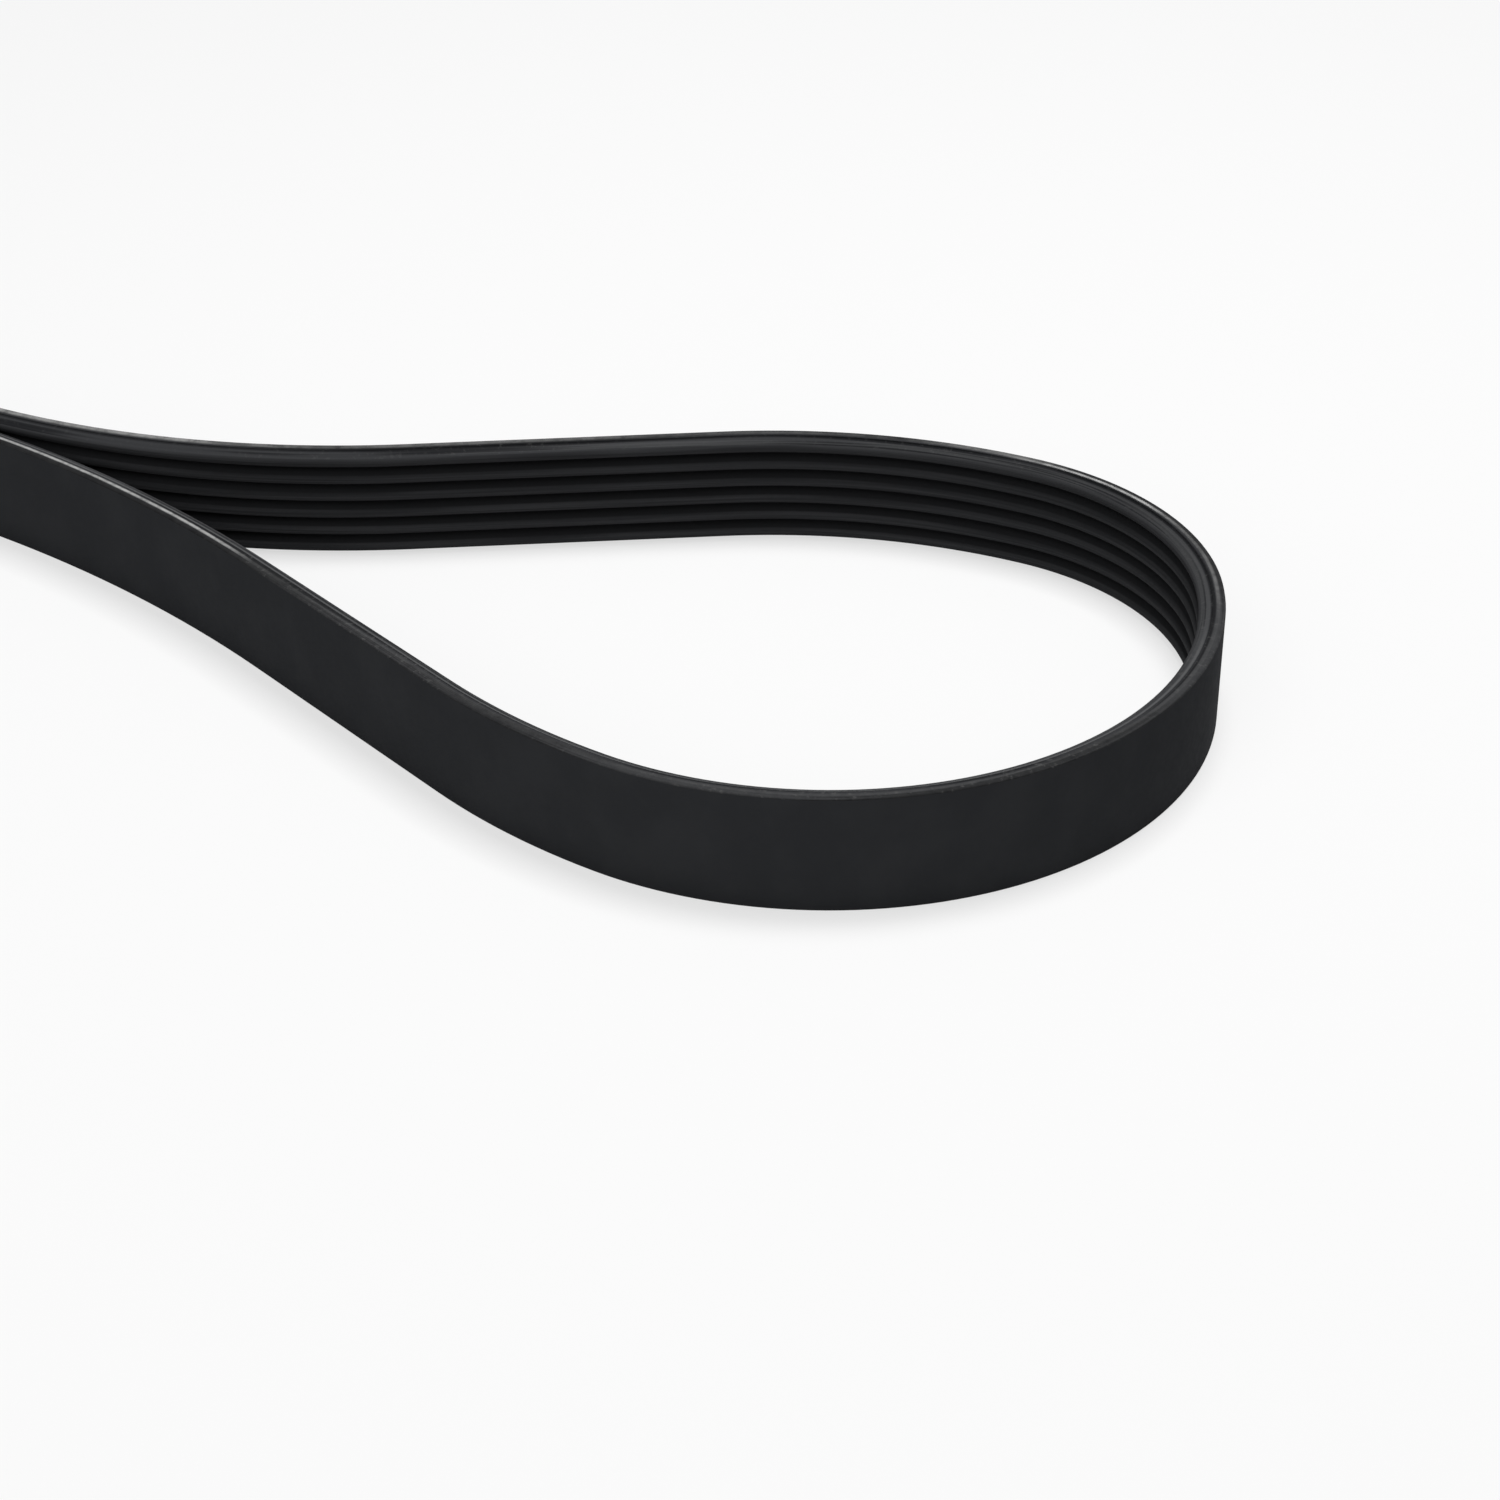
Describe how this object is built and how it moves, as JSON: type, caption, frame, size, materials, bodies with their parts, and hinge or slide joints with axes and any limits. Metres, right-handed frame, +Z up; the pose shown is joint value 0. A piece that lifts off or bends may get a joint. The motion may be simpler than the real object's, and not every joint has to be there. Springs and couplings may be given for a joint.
{
  "type": "serpentine belt",
  "caption": "Endless flat rubber drive belt with lengthwise ribs inside and a smooth back, standing on its cut edge in a loop pinched at its waist.",
  "frame": {"origin": "middle of the waist between the two strands, on the surface that the belt stands on", "axes": "+X along the strands at the waist, which is the loop's long direction; +Y across the loop; +Z up, along the band's width"},
  "size_m": [0.5024, 0.177, 0.0214],
  "materials": {
    "belt_rubber": "matte"
  },
  "bodies": {
    "root": {"ribbed_belt": "belt_rubber"}
  },
  "joints": []
}
